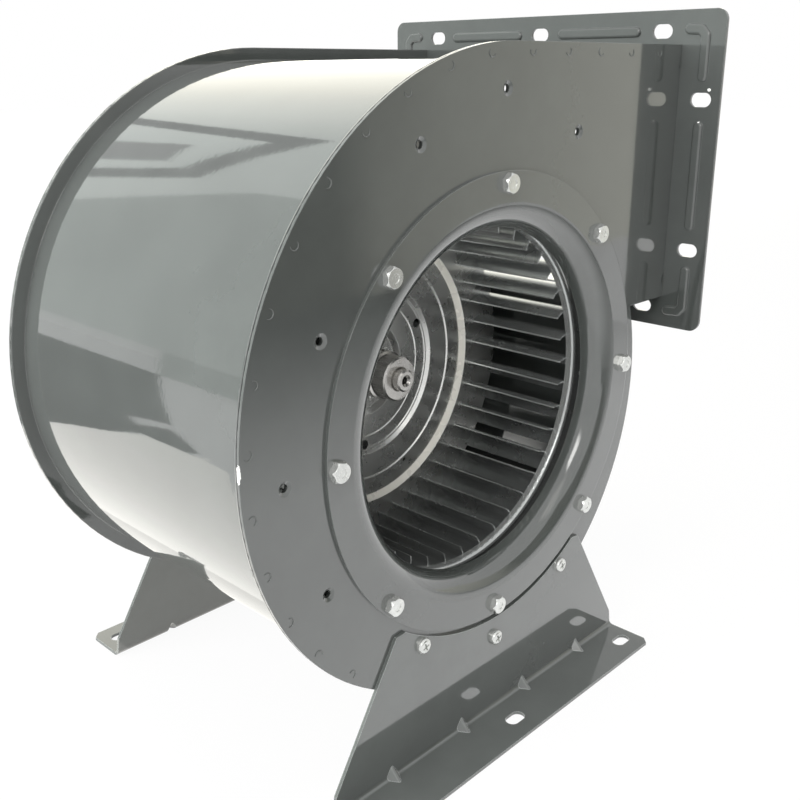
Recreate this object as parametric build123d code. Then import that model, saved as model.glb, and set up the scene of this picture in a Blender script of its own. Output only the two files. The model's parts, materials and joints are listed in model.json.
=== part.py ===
from build123d import *
from math import acos, asin, cos, degrees, hypot, pi, radians, sin, sqrt
import os

# A double-inlet centrifugal fan: a pressed steel scroll with a beaded outlet flange, a
# forward-curved wheel on a centre disc, and a small motor held in the rear inlet by a cradle.
# Millimetres. The fan is drawn about the centre of its front inlet face, with +Y into the fan
# along its axis, +X the way the air leaves and +Z up; put() moves each node to the row's frame.

# Sheet thicknesses and overall places along the axis
RING_T = 2.0
PLATE_T = 1.5
WRAP_T = 1.5
FLANGE_T = 2.0
FOOT_T = 2.0
CASING_W = 219.0
FRONT = RING_T                      # outer face of the front side plate
REAR = FRONT + CASING_W             # outer face of the rear side plate
MID_Y = (FRONT + REAR) / 2
AXIS_HEIGHT = 200.0

# Wheel
WHEEL_R = 120.0
BLADES = 40
BLADE_DEPTH = 21.4
BLADE_LEAN = 20.0
BLADE_BOW = 5.2
BLADE_T = 0.9
RIM_W = 17.5
RIM_T = 1.1
RIM_LIP = 5.6
RIM_SKIRT = 11.0
RIM_NOSE = 2.6                      # radius of the rim's rolled front edge
RIM_GAP = 7.2                       # between the inlet ring's throat and the rim
DISC_T = 1.5
DISC_SET = 9.5                      # how far the disc's edge stands in front of the middle plane
RIM_IN = WHEEL_R - RIM_W
BLADE_OUT = WHEEL_R - RIM_T - 0.5
BLADE_IN = BLADE_OUT - BLADE_DEPTH
DISC_R = BLADE_OUT + 0.8
DISC_Y = MID_Y - DISC_SET

# Fasteners
M6_AF = 10.0
M6_HEAD = 4.0
M6_R = 3.0
BOLT_CLEAR = 0.3
NUT_H = 5.0
TAP_R = 2.1
COLLAR_R = 3.1
COLLAR_H = 2.5
LEAD_R = 3.9
SCREW_HEAD_R = 4.75
SCREW_HEAD_H = 3.2
SCREW_CLEAR = 2.9
SCREW_M4 = 2.0

# Inlet rings
THROAT_UNDER = 2.5                  # the throat's radius under the rim's inner radius
BELL_R = 14.9
THROAT_LIP = 0.6
RING_BOLTS = 8
RING_LAND = 25.0                    # from the throat to the bolt circle
RING_EDGE = 6.5
THROAT_R = RIM_IN - THROAT_UNDER
THROAT_END = BELL_R + THROAT_LIP
RING_PCR = THROAT_R + RING_LAND
RING_R = RING_PCR + RING_EDGE
INLET_CUT_R = THROAT_R + BELL_R + 2.9
RIM_Y = THROAT_END + RIM_GAP
BLADE_TIP_Y = RIM_Y + 1.9
BLADE_FRONT = RIM_Y + 6.4

# Screw holes for a foot: an outer pair and a middle hole, repeated on three sides
PAIR_OUT = 8.3                      # the pair's distance outside the ring
PAIR_TURN = 27.7
MIDDLE_OUT = 16.6
SIDE_SHIFT = {"bottom": 0.0, "left": 7.5, "top": 24.2}
COLLAR_CLEAR = 0.75
WRAP_LIP = 8.0                      # how far the wrap's flanges stand out from it

# Scroll: four quarter arcs whose centres stand on a small square. Its bottom clears the foot's
# middle screw and its right side clears the ring's nuts; the square's side follows from both.
ARC_TOP = (6.25, 8.25)
NUT_CLEAR = 0.9
TONGUE_R = 6.0
DUCT_BOTTOM = 36.0                  # lower edge of the side plates at the outlet
OUTLET_X = 175.0                    # front face of the outlet flange
DUCT_END = OUTLET_X - FLANGE_T
BOTTOM_REACH = RING_R + MIDDLE_OUT + COLLAR_R + COLLAR_CLEAR + WRAP_LIP + WRAP_T
RIGHT_REACH = RING_PCR + M6_AF / sqrt(3) + NUT_CLEAR + WRAP_LIP + WRAP_T
SCROLL_STEP = (BOTTOM_REACH + ARC_TOP[0] + ARC_TOP[1] - RIGHT_REACH) / 2
ARC_TOP_R = BOTTOM_REACH + SCROLL_STEP + ARC_TOP[1]

# Outlet flange
FRAME_BORDER = 29.8
SIDE_BORDER = 30.0
FRAME_CORNER = 7.0
SLOT_R = 4.25
SLOT_L = 14.0
ROW_OUT = 17.5                      # from the duct's opening to the middle of the slots
SIDE_OUT = 17.0
BEAD_R = 3.2
BEAD_H = 1.8
RELIEF = 4.6
OPEN_TOP = ARC_TOP[1] + ARC_TOP_R - WRAP_LIP - WRAP_T
OPEN_BOTTOM = DUCT_BOTTOM + WRAP_LIP + WRAP_T
OPEN_HALF_W = CASING_W / 2 - PLATE_T
FRAME_MID_Z = (OPEN_TOP + OPEN_BOTTOM) / 2
ROW_Z = (OPEN_TOP - OPEN_BOTTOM) / 2 + ROW_OUT
SIDE_Y = OPEN_HALF_W + SIDE_OUT
ROW_Y = SIDE_Y - 30.0
SIDE_Z = ROW_Z - 40.7
BEAD_L = ROW_Y - 31.0
SIDE_BEAD_L = 2 * SIDE_Z - 26.0

# Feet
FOOT_GAP = 3.0                      # between the ring and the foot's hollowed top
FOOT_SHOULDER = 20.5                # from an outer screw to the foot's upper corner
FOOT_BASE_X = 134.0
FOOT_REACH = 34.5
FOOT_BEND = 2.6
FOOT_SLOT_Y = 18.0
DART_W = 5.6
DART_H = 8.4
DART_ROUND = 1.4
FOOT_ARC_R = RING_R + FOOT_GAP
FOOT_SLOT_X = FOOT_BASE_X - 14.0
DART_X = [FOOT_SLOT_X * k for k in (-0.75, -0.25, 0.25, 0.75)]

# Hub and shaft, placed from the disc
HUB_R = 14.0
HUB_FRONT = 22.0                    # how far the hub's nose stands in front of the disc's edge
SHAFT_OUT = 5.6                     # and the shaft's end in front of the nose
HUB_COLLAR = 1.6                    # how far the hub stands out from its nose behind the step
HUB_STEP = 11.5
HUB_FLANGE_W = 10.0
HUB_FLANGE_T = 4.0
SHAFT_R = 7.0
RIVETS = 4
RIVET_R = 2.0
DISH_DEPTH = 10.8
HUB_Y0 = DISC_Y - HUB_FRONT
SHAFT_Y0 = HUB_Y0 - SHAFT_OUT
HUB_BACK_R = HUB_R + HUB_COLLAR
HUB_FLANGE_R = HUB_BACK_R + HUB_FLANGE_W
RIVET_PCR = HUB_BACK_R + HUB_FLANGE_W / 2
DISH_BACK = DISC_Y + DISH_DEPTH + DISC_T
HUB_END = DISH_BACK + HUB_FLANGE_T

# Motor: it fills the room between the hub and the rear inlet
MOTOR_R = 70.0
SHELL_T = 1.5
HUB_CLEAR = 7.5
BOSS_DEPTH = 16.0
SHELL_OUT = 5.0
CAP_DEPTH = 20.0
CORE_SET = 12.0
STATOR_BORE = 40.0
AIR_GAP = 0.35
SLOTS = 24
BEARING_W = 11.0
BEARING_OUT = 17.5
BALLS = 7
BALL_R = 2.6
BALL_CLEAR = 0.05
TIE_R = 2.2
FRONT_BOSS_Y = HUB_END + HUB_CLEAR
SHELL_Y0 = FRONT_BOSS_Y + BOSS_DEPTH
SHELL_Y1 = REAR + SHELL_OUT
REAR_CAP_Y = SHELL_Y1 + CAP_DEPTH
CORE_Y0, CORE_Y1 = SHELL_Y0 + CORE_SET, SHELL_Y1 - CORE_SET
BEARING_IN = SHAFT_R + 0.5
ROTOR_SHAFT_R = BEARING_IN + 2.0
BEARING_Y = (FRONT_BOSS_Y + 2.0, SHELL_Y1 + 4.0)
CORE_R = MOTOR_R - SHELL_T
TIE_PCR = CORE_R - 3.9

# Cradle that carries the motor in the rear inlet
BAND_T = 2.0
BAND_W = 24.0
BAND_SET = 16.0
ARM_W = 20.0
ARM_T = 3.0
ARM_TAIL = 9.0                      # how far an arm goes past its bolt
EAR_GAP = 7.0
EAR_H = 17.0
STAY = 11.0
BAND_Y0 = REAR - BAND_SET
ARM_END_R = RING_PCR + ARM_TAIL

# Terminal box behind the motor
BOX_X, BOX_Z, BOX_Y = 72.0, 58.0, 30.0
BOX_T = 2.0
LID_T = 3.0
LID_HEAD = 2.0
GLAND_R = 8.0
WIRE_R = 4.0
WIRE_X = -27.5
BOX_SCREWS = [(sx * (BOX_X / 2 - 12.0), 15.0 - BOX_Z / 2) for sx in (-1, 1)]

# The row's origin is the middle of the whole fan's footprint, on the floor it stands on
LEFT_X = ARC_TOP[0] - ARC_TOP_R
FOOT_TOE_Y = FRONT - FOOT_REACH
LAST_Y = REAR_CAP_Y + BOX_Y + LID_T + LID_HEAD
TO_ROW = (-(LEFT_X + OUTLET_X) / 2, -(FOOT_TOE_Y + LAST_Y) / 2, AXIS_HEIGHT)

os.makedirs("parts", exist_ok=True)


def put(name, shape):
    """Writes one node, moved to the row's frame; a list of solids becomes one group."""
    if isinstance(shape, (list, tuple)):
        shape = Compound(children=[s for p in shape for s in p.solids()])
    elif len(shape.solids()) == 1:
        shape = shape.solids()[0]
    shape = shape.moved(Location(TO_ROW))
    shape.label = name
    export_step(shape, f"parts/{name}.step")


def rod(radius, y0, y1, x=0.0, z=0.0):
    """A cylinder along Y."""
    plane = Plane(origin=(x, y0, z), x_dir=(1, 0, 0), z_dir=(0, 1, 0))
    return extrude(plane * Circle(radius), amount=y1 - y0)


def block(x0, x1, y0, y1, z0, z1):
    return Pos((x0 + x1) / 2, (y0 + y1) / 2, (z0 + z1) / 2) * Box(x1 - x0, y1 - y0, z1 - z0)


def turned(*points):
    """Revolves a closed profile of (radius, y) points about the fan's axis."""
    face = make_face(Polyline(*[(r, y, 0) for r, y in points], close=True))
    return revolve(face, Axis.Y, 360)


def around(shape, count, start=0.0):
    return [shape.rotate(Axis.Y, start + 360 * k / count) for k in range(count)]


def at_rear(shape):
    """The same piece on the rear side, mirrored in the casing's middle plane."""
    return shape.mirror(Plane(origin=(0, MID_Y, 0), z_dir=(0, 1, 0)))


def polar(radius, angle, centre=(0.0, 0.0)):
    return (centre[0] + radius * cos(radians(angle)), centre[1] + radius * sin(radians(angle)))


def face_xz(edges, y):
    """A face in the plane of the given y from edges drawn in (x, z)."""
    return Plane(origin=(0, y, 0), x_dir=(1, 0, 0), z_dir=(0, -1, 0)) * make_face(edges)


def slab(face, thickness):
    return extrude(face, amount=thickness, dir=(0, 1, 0))


def arc(centre, radius, a0, a1):
    mid = (a0 + a1) / 2
    return ThreePointArc(polar(radius, a0, centre), polar(radius, mid, centre), polar(radius, a1, centre))


def scroll_face(inset, y, end=DUCT_END, tongue=None):
    """The scroll's outline, drawn in by inset from the side plates' edge."""
    s = SCROLL_STEP
    c1, r1 = ARC_TOP, ARC_TOP_R - inset
    c2, r2 = (c1[0] - s, c1[1]), r1 - s
    c3, r3 = (c2[0], c2[1] - s), r2 - s
    c4, r4 = (c3[0] + s, c3[1]), r3 - s
    top, bottom = c1[1] + r1, DUCT_BOTTOM + inset
    if tongue is None:
        # the duct's lower edge simply meets the last arc
        lift = degrees(asin((bottom - c4[1]) / r4))
        meet = [polar(r4, lift, c4)]
        nose = []
    else:
        # the sheet turns round the tongue, tangent to the duct and to the last arc
        zt = bottom - tongue
        lift = degrees(asin((zt - c4[1]) / (r4 + tongue)))
        ct = polar(r4 + tongue, lift, c4)
        nose = [arc(ct, tongue, 180 + lift, 90)]
        meet = [(ct[0], bottom)]
    edges = nose + [
        Line(meet[0], (end, bottom)), Line((end, bottom), (end, top)), Line((end, top), (c1[0], top)),
        arc(c1, r1, 90, 180), arc(c2, r2, 180, 270), arc(c3, r3, 270, 360), arc(c4, r4, 0, lift)]
    return face_xz(edges, y)


def foot_holes():
    """Places (x, z) of the tapped holes, three on each side where a foot can go."""
    pair_r, turn = RING_R + PAIR_OUT, radians(PAIR_TURN)
    pair_x, pair_z = pair_r * sin(turn), -pair_r * cos(turn)
    out = []
    for side, quarter in (("bottom", 0), ("left", -90), ("top", 180)):
        shift, a = SIDE_SHIFT[side], radians(quarter)
        low, middle = pair_z - shift, -RING_R - MIDDLE_OUT - shift
        for x, z in ((-pair_x, low), (0.0, middle), (pair_x, low)):
            out.append((x * cos(a) - z * sin(a), x * sin(a) + z * cos(a)))
    return out


def ring_places(count=RING_BOLTS, radius=RING_PCR, start=0.0):
    return [polar(radius, start + 360 * k / count) for k in range(count)]


def hex_rod(across, y0, y1, x, z, turn=0.0):
    plane = Plane(origin=(x, y0, z), x_dir=(cos(radians(turn)), 0, -sin(radians(turn))), z_dir=(0, 1, 0))
    return extrude(plane * RegularPolygon(across / 2, 6, major_radius=False), amount=y1 - y0)


def slot_along(axis, length, radius, depth, place):
    """A cutter with round ends, long along x or y, that goes right through a sheet."""
    x, y, z = place
    if axis == "x_in_z":
        plane = Plane(origin=(x, y, z - depth / 2), x_dir=(1, 0, 0), z_dir=(0, 0, 1))
    elif axis == "y_in_x":
        plane = Plane(origin=(x - depth / 2, y, z), x_dir=(0, 1, 0), z_dir=(1, 0, 0))
    else:
        plane = Plane(origin=(x, y - depth / 2, z), x_dir=(1, 0, 0), z_dir=(0, 1, 0))
    return extrude(plane * SlotOverall(length, 2 * radius), amount=depth)


# Side plates: flat, with the inlet opening, ring bolt holes and tapped collars for the feet
side = slab(scroll_face(0.0, FRONT), PLATE_T) - rod(INLET_CUT_R, FRONT - 1, FRONT + 3)
for x, z in ring_places():
    side -= rod(M6_R + BOLT_CLEAR, FRONT - 1, FRONT + 3, x, z)
for x, z in foot_holes():
    collar_plane = Plane(origin=(x, FRONT + COLLAR_H / 2 + 0.7, z), z_dir=(0, 1, 0))
    collar = collar_plane * Cylinder(COLLAR_R, COLLAR_H)
    lead = Plane(origin=(x, FRONT + 0.5, z), x_dir=(1, 0, 0), z_dir=(0, 1, 0)) * Cone(LEAD_R, TAP_R, 1.0)
    side = side + collar - lead - rod(TAP_R, FRONT - 1, FRONT + 6, x, z)
for z0, z1 in ((OPEN_TOP - RELIEF, OPEN_TOP), (OPEN_BOTTOM, OPEN_BOTTOM + RELIEF)):
    side -= block(DUCT_END - 1.8, DUCT_END + 1, FRONT - 1, FRONT + 3, z0, z1)
put("front_side_plate", side)
put("rear_side_plate", at_rear(side))

# Scroll wrap: one strip rolled round the scroll, with a flange turned out along both edges
wrap_y0, wrap_y1 = FRONT + PLATE_T, REAR - PLATE_T
tongue_in = TONGUE_R + WRAP_T
outer = scroll_face(WRAP_LIP, wrap_y0, tongue=TONGUE_R)
inner = scroll_face(WRAP_LIP + WRAP_T, wrap_y0, tongue=tongue_in)
sheet = slab(outer, wrap_y1 - wrap_y0) - slab(inner, wrap_y1 - wrap_y0)
lip = slab(scroll_face(0.0, wrap_y0), WRAP_T) - slab(inner, WRAP_T)
wrap = sheet + lip + at_rear(lip)
put("scroll_wrap", wrap)

# Inlet rings: a flat flange that turns in through a bell to a short throat
bell_centre = (THROAT_R + BELL_R, BELL_R)
bell_in = [polar(BELL_R, a, bell_centre) for a in (-90, -112, -135, -158, -180)]
bell_back = [polar(BELL_R - RING_T, a, bell_centre) for a in (-180, -158, -135, -112, -90)]
profile = make_face([
    Line((RING_R, 0), (bell_centre[0], 0)),
    ThreePointArc(bell_in[0], bell_in[2], bell_in[4]),
    Line(bell_in[4], (THROAT_R, THROAT_END)),
    Line((THROAT_R, THROAT_END), (THROAT_R + RING_T, THROAT_END)),
    Line((THROAT_R + RING_T, THROAT_END), bell_back[0]),
    ThreePointArc(bell_back[0], bell_back[2], bell_back[4]),
    Line(bell_back[4], (RING_R, RING_T)),
    Line((RING_R, RING_T), (RING_R, 0))])
ring = revolve(profile, Axis.Y, 360)
for x, z in ring_places():
    ring -= rod(M6_R + BOLT_CLEAR, -1, RING_T + 1, x, z)
put("front_inlet_ring", ring)
put("rear_inlet_ring", at_rear(ring))


def hex_bolt(x, z, seat, length, turn):
    """An M6 hex bolt whose head stands on the plane y = seat and whose shank runs to +Y."""
    head = hex_rod(M6_AF, seat - M6_HEAD, seat, x, z, turn)
    crown_plane = Plane(origin=(x, seat - M6_HEAD / 2, z), z_dir=(0, -1, 0))
    crown = crown_plane * Cone(M6_AF * 0.72, M6_AF * 0.49, M6_HEAD)
    dimple = Plane(origin=(x, seat - M6_HEAD, z), z_dir=(0, 1, 0)) * Cylinder(2.4, 0.8)
    return (head & crown) - dimple + rod(M6_R, seat, seat + length, x, z)


nut_y = FRONT + PLATE_T
front_bolts, front_nuts, rear_bolts, rear_nuts = [], [], [], []
for k, (x, z) in enumerate(ring_places()):
    turn = 30.0 * (k % 2) + 11.0 * (k % 3)
    on_arm = k % 2 == 1
    front_bolts.append(hex_bolt(x, z, 0.0, nut_y + NUT_H + 1.5, turn))
    seat = -ARM_T if on_arm else 0.0
    rear_bolts.append(at_rear(hex_bolt(x, z, seat, nut_y + NUT_H + 1.5 - seat, turn)))
    nut = hex_rod(M6_AF, nut_y, nut_y + NUT_H, x, z, 45.0 * k + 30)
    nut -= rod(M6_R, nut_y - 1, nut_y + NUT_H + 1, x, z)
    front_nuts.append(nut)
    rear_nuts.append(at_rear(nut))
put("front_ring_bolts", front_bolts)
put("front_ring_nuts", front_nuts)
put("rear_ring_bolts", rear_bolts)
put("rear_ring_nuts", rear_nuts)

# Outlet flange: a pressed frame with slots and beads, butted on the end of the duct
frame_plane = Plane(origin=(DUCT_END, MID_Y, FRAME_MID_Z), x_dir=(0, 1, 0), z_dir=(1, 0, 0))
frame_w, frame_h = 2 * (OPEN_HALF_W + SIDE_BORDER), OPEN_TOP - OPEN_BOTTOM + 2 * FRAME_BORDER
frame = extrude(frame_plane * RectangleRounded(frame_w, frame_h, FRAME_CORNER), amount=FLANGE_T)
frame -= block(DUCT_END - 1, OUTLET_X + 1, wrap_y0, wrap_y1, OPEN_BOTTOM, OPEN_TOP)


def rib_along(points, half_width, depth, face_x):
    """A round-ended rib or groove along a short path in (y, z), toward -X from the plane x = face_x."""
    rib = None
    for start, end in zip(points, points[1:]):
        a, b = Vector(0, *start), Vector(0, *end)
        mid = (a + b) / 2
        plane = Plane(origin=(face_x, mid.Y, mid.Z), x_dir=(b - a).normalized(), z_dir=(-1, 0, 0))
        piece = extrude(plane * SlotOverall((b - a).length + 2 * half_width, 2 * half_width), amount=depth)
        piece = fillet(piece.faces().sort_by(Axis.X)[0].edges(), 0.9 * depth)
        rib = piece if rib is None else rib + piece
    return rib


def bead(points):
    """A bead pressed into the frame: a rib on its back and the matching groove on its front."""
    rib = rib_along(points, BEAD_R, BEAD_H, DUCT_END)
    groove = rib_along(points, BEAD_R - 0.9, BEAD_H - 0.1, OUTLET_X)
    return rib, groove


beads = []
for z in (FRAME_MID_Z - ROW_Z, FRAME_MID_Z + ROW_Z):
    for dy in (-ROW_Y / 2, ROW_Y / 2):
        y = MID_Y + dy
        beads.append(bead([(y - BEAD_L / 2 + BEAD_R, z), (y + BEAD_L / 2 - BEAD_R, z)]))
for y in (MID_Y - SIDE_Y, MID_Y + SIDE_Y):
    half = SIDE_BEAD_L / 2 - BEAD_R
    beads.append(bead([(y, FRAME_MID_Z - half), (y, FRAME_MID_Z + half)]))
for sy in (-1, 1):
    for sz in (-1, 1):
        corner_y, corner_z = MID_Y + sy * SIDE_Y, FRAME_MID_Z + sz * (ROW_Z + 1.0)
        beads.append(bead([(corner_y - sy * 11.0, corner_z), (corner_y - sy * 3.0, corner_z - sz * 0.5),
                           (corner_y, corner_z - sz * 4.0), (corner_y, corner_z - sz * 28.0)]))
for rib, groove in beads:
    frame = frame + rib - groove
for z in (FRAME_MID_Z - ROW_Z, FRAME_MID_Z + ROW_Z):
    for y in (MID_Y - ROW_Y, MID_Y, MID_Y + ROW_Y):
        frame -= slot_along("y_in_x", SLOT_L, SLOT_R, 12, (OUTLET_X, y, z))
for y in (MID_Y - SIDE_Y, MID_Y + SIDE_Y):
    for z in (FRAME_MID_Z - SIDE_Z, FRAME_MID_Z + SIDE_Z):
        frame -= slot_along("y_in_x", SLOT_L, SLOT_R, 12, (OUTLET_X, y, z))
put("outlet_flange", frame)

# Feet: a web hollowed round the inlet ring and a base turned outward, stiffened by darts
base_z = -AXIS_HEIGHT
knee_z = base_z + 13.0
shoulder = foot_holes()[2][0] + FOOT_SHOULDER
arc_end = (shoulder - 7.4, -sqrt(FOOT_ARC_R ** 2 - (shoulder - 7.4) ** 2))
shoulder_z = arc_end[1] - 0.6
right_side = [(shoulder, shoulder_z), (FOOT_BASE_X - 2, knee_z), (FOOT_BASE_X, base_z)]
left_side = [(-x, z) for x, z in reversed(right_side)]
web = face_xz([ThreePointArc((-arc_end[0], arc_end[1]), (0, -FOOT_ARC_R), arc_end),
               Polyline(arc_end, *right_side, *left_side, (-arc_end[0], arc_end[1]))],
              FRONT - FOOT_REACH - 1)
foot_front = FRONT - FOOT_REACH
web_back, bend_out = FRONT - FOOT_T, FOOT_BEND + FOOT_T
turn_in, turn_out = FOOT_BEND * (1 - sin(pi / 4)), bend_out * (1 - sin(pi / 4))
section = Plane(origin=(-FOOT_BASE_X, 0, 0), x_dir=(0, 1, 0), z_dir=(1, 0, 0)) * make_face([
    Line((foot_front, base_z), (FRONT - bend_out, base_z)),
    ThreePointArc((FRONT - bend_out, base_z), (FRONT - turn_out, base_z + turn_out),
                  (FRONT, base_z + bend_out)),
    Line((FRONT, base_z + bend_out), (FRONT, 0)), Line((FRONT, 0), (web_back, 0)),
    Line((web_back, 0), (web_back, base_z + bend_out)),
    ThreePointArc((web_back, base_z + bend_out), (web_back - turn_in, base_z + FOOT_T + turn_in),
                  (web_back - FOOT_BEND, base_z + FOOT_T)),
    Line((web_back - FOOT_BEND, base_z + FOOT_T), (foot_front, base_z + FOOT_T)),
    Line((foot_front, base_z + FOOT_T), (foot_front, base_z))])
foot = extrude(section, amount=2 * FOOT_BASE_X) & slab(web, FOOT_REACH + 1)
for sx in (-1, 1):
    clip = block(-3.2, 3.2, -3.2, 3.2, base_z - 1, base_z + 4).rotate(Axis.Z, 45)
    foot -= clip.translate((sx * FOOT_BASE_X, foot_front, 0))


def dart(x, y, z, half, high, round_off):
    """A pyramid in the corner of the bend, square to both leaves, with a rounded ridge."""
    left, right = Vector(x - half, y, z), Vector(x + half, y, z)
    up, out = Vector(x, y, z + high), Vector(x, y - high, z)
    sides = [(left, right, up), (left, out, right), (left, up, out), (right, out, up)]
    pyramid = Solid(Shell([Face(Wire.make_polygon(c, close=True)) for c in sides]))
    ridge = pyramid.edges().sort_by(lambda e: (e.center() - (up + out) / 2).length)[0]
    return pyramid.fillet(round_off, [ridge])


bite = 0.3
for x in DART_X:
    foot += dart(x, web_back + bite, base_z + FOOT_T - bite, DART_W, DART_H, DART_ROUND)
    foot -= dart(x, FRONT + bite, base_z - bite, DART_W, DART_H + bite, DART_ROUND)
for x in (-FOOT_SLOT_X, 0.0, FOOT_SLOT_X):
    foot -= slot_along("x_in_z", SLOT_L, SLOT_R, 20, (x, web_back - FOOT_SLOT_Y, base_z))
for x, z in foot_holes()[:3]:
    foot -= rod(SCREW_CLEAR, web_back - 1, FRONT + 1, x, z)
put("front_foot", foot)
put("rear_foot", at_rear(foot))


def pan_screw(x, z):
    """An M5 pan head screw with a cross recess, its head on the foot's web."""
    seat = FRONT - FOOT_T
    flat = Plane(origin=(x, seat, z), x_dir=(1, 0, 0), z_dir=(0, -1, 0))
    head = extrude(flat * Circle(SCREW_HEAD_R), amount=SCREW_HEAD_H)
    head = fillet(head.edges().sort_by(Axis.Y)[0], 1.9)
    top = Plane(origin=(x, seat - SCREW_HEAD_H, z), x_dir=(1, 0, 0.35), z_dir=(0, 1, 0))
    cross = extrude(top * (Rectangle(5.0, 1.1) + Rectangle(1.1, 5.0)), amount=1.6, taper=12)
    return head - cross + rod(TAP_R - 0.05, seat, FRONT + 8, x, z)


foot_screws = [pan_screw(x, z) for x, z in foot_holes()[:3]]
put("front_foot_screws", foot_screws)
put("rear_foot_screws", [at_rear(s) for s in foot_screws])

# Wheel: 40 forward-curved blades on each side of a dished centre disc, tips held by rolled rims
lean = radians(BLADE_LEAN)
reach = BLADE_IN * cos(lean)
chord = -reach + sqrt(reach ** 2 - BLADE_IN ** 2 + BLADE_OUT ** 2)
tip = (BLADE_IN + chord * cos(lean), -chord * sin(lean))
bow_mid = (BLADE_IN + chord / 2 * cos(lean) + BLADE_BOW * sin(lean),
           -chord / 2 * sin(lean) + BLADE_BOW * cos(lean))


def offset_arc(shift):
    """The blade's arc moved square to its chord, which keeps the strip's thickness even."""
    dx, dz = shift * sin(lean), shift * cos(lean)
    a, m, b = ((p[0] + dx, p[1] + dz) for p in ((BLADE_IN, 0.0), bow_mid, tip))
    return a, m, b


a0, m0, b0 = offset_arc(0.0)
a1, m1, b1 = offset_arc(BLADE_T)
blade_edges = [ThreePointArc(a0, m0, b0), Line(b0, b1), ThreePointArc(b1, m1, a1), Line(a1, a0)]
notch_r = RIM_IN + RIM_T + 0.1
notch = turned((BLADE_IN - 5, BLADE_TIP_Y - 2), (notch_r, BLADE_TIP_Y - 2), (notch_r, BLADE_FRONT - 0.8),
               (BLADE_IN - 0.3, BLADE_FRONT), (BLADE_IN - 5, BLADE_FRONT))
blade = slab(face_xz(blade_edges, BLADE_TIP_Y), DISC_Y - BLADE_TIP_Y) - notch
disc_back = DISC_Y + DISC_T
rear_blade = slab(face_xz(blade_edges, disc_back), 2 * MID_Y - BLADE_TIP_Y - disc_back) - at_rear(notch)
put("front_wheel_blades", around(blade, BLADES))
put("rear_wheel_blades", around(rear_blade, BLADES))

r_in, r_nose, face_y = RIM_IN, RIM_IN + RIM_NOSE, RIM_Y + 0.8
turn = RIM_NOSE * (1 - sqrt(0.5))
rim_face = make_face([
    Line((r_in, RIM_Y + RIM_LIP), (r_in, RIM_Y + RIM_NOSE)),
    ThreePointArc((r_in, RIM_Y + RIM_NOSE), (r_in + turn, RIM_Y + turn), (r_nose, RIM_Y)),
    ThreePointArc((r_nose, RIM_Y), (r_nose + 1.1, RIM_Y + 0.24), (r_nose + 2.0, face_y)),
    Line((r_nose + 2.0, face_y), (WHEEL_R - 1.2, face_y)),
    ThreePointArc((WHEEL_R - 1.2, face_y), (WHEEL_R - 0.35, face_y + 0.35), (WHEEL_R, face_y + 1.2)),
    Line((WHEEL_R, face_y + 1.2), (WHEEL_R, RIM_Y + RIM_SKIRT)),
    Line((WHEEL_R, RIM_Y + RIM_SKIRT), (WHEEL_R - RIM_T, RIM_Y + RIM_SKIRT)),
    Line((WHEEL_R - RIM_T, RIM_Y + RIM_SKIRT), (WHEEL_R - RIM_T, BLADE_TIP_Y)),
    Line((WHEEL_R - RIM_T, BLADE_TIP_Y), (r_in + RIM_T, BLADE_TIP_Y)),
    Line((r_in + RIM_T, BLADE_TIP_Y), (r_in + RIM_T, RIM_Y + RIM_LIP)),
    Line((r_in + RIM_T, RIM_Y + RIM_LIP), (r_in, RIM_Y + RIM_LIP))])
rim = revolve(rim_face, Axis.Y, 360)
put("front_wheel_rim", rim)
put("rear_wheel_rim", at_rear(rim))

# Centre disc: pressed in steps toward the hub; each pair is (radius, y of the front face)
edge, bend = DISC_Y, HUB_FLANGE_R
STEPS = [(DISC_R, edge), (BLADE_IN - 9.0, edge), (BLADE_IN - 12.4, edge + 3.4),
         (BLADE_IN - 24.0, edge + 3.4), (BLADE_IN - 24.8, edge + 4.2),
         (bend + 30.6, edge + 4.2), (bend + 28.6, edge + 6.2), (bend + 27.6, edge + 6.2),
         (bend + 27.0, edge + 6.8), (bend + 19.4, edge + 6.8), (bend + 18.8, edge + 7.2),
         (bend + 4.9, edge + 7.2), (bend + 1.9, edge + DISH_DEPTH), (HUB_BACK_R, edge + DISH_DEPTH)]
DISH_HOLES = (3, bend + 24.8, 3.2, 26.0)
BALANCE_HOLES = (6, BLADE_IN - 21.0, 1.7, -6.5)
back = [(r - (0.35 if 0 < i < len(STEPS) - 1 else 0.0), y + DISC_T) for i, (r, y) in enumerate(STEPS)]
disc = turned(*STEPS, *reversed(back))
for count, radius, hole, start in (DISH_HOLES, BALANCE_HOLES):
    for x, z in ring_places(count, radius, start):
        disc -= rod(hole, edge, HUB_END, x, z)
for x, z in ring_places(RIVETS, RIVET_PCR, 20.0):
    disc -= rod(RIVET_R, edge, HUB_END, x, z)
put("wheel_centre_disc", disc)

# Hub: turned steel, riveted to the disc's back, held on the shaft by one socket set screw
hub = turned((SHAFT_R, HUB_Y0 + 0.8), (SHAFT_R + 0.8, HUB_Y0), (HUB_R - 1, HUB_Y0), (HUB_R, HUB_Y0 + 1),
             (HUB_R, HUB_Y0 + HUB_STEP), (HUB_BACK_R, HUB_Y0 + HUB_STEP + 0.6), (HUB_BACK_R, DISH_BACK),
             (HUB_FLANGE_R, DISH_BACK), (HUB_FLANGE_R, HUB_END), (SHAFT_R, HUB_END))
for x, z in ring_places(RIVETS, RIVET_PCR, 20.0):
    hub -= rod(RIVET_R, DISH_BACK - 1, HUB_END + 1, x, z)
SET_Y = HUB_Y0 + 17.0
SET_R = 3.0
set_bore = Plane(origin=(0, SET_Y, 0), z_dir=(0, 0, 1))
hub -= extrude(set_bore * Circle(SET_R), amount=HUB_BACK_R + 2)
put("wheel_hub", hub)
set_screw = extrude(Plane(origin=(0, SET_Y, SHAFT_R - 0.5), z_dir=(0, 0, 1)) * Circle(SET_R), amount=6.0)
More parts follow.
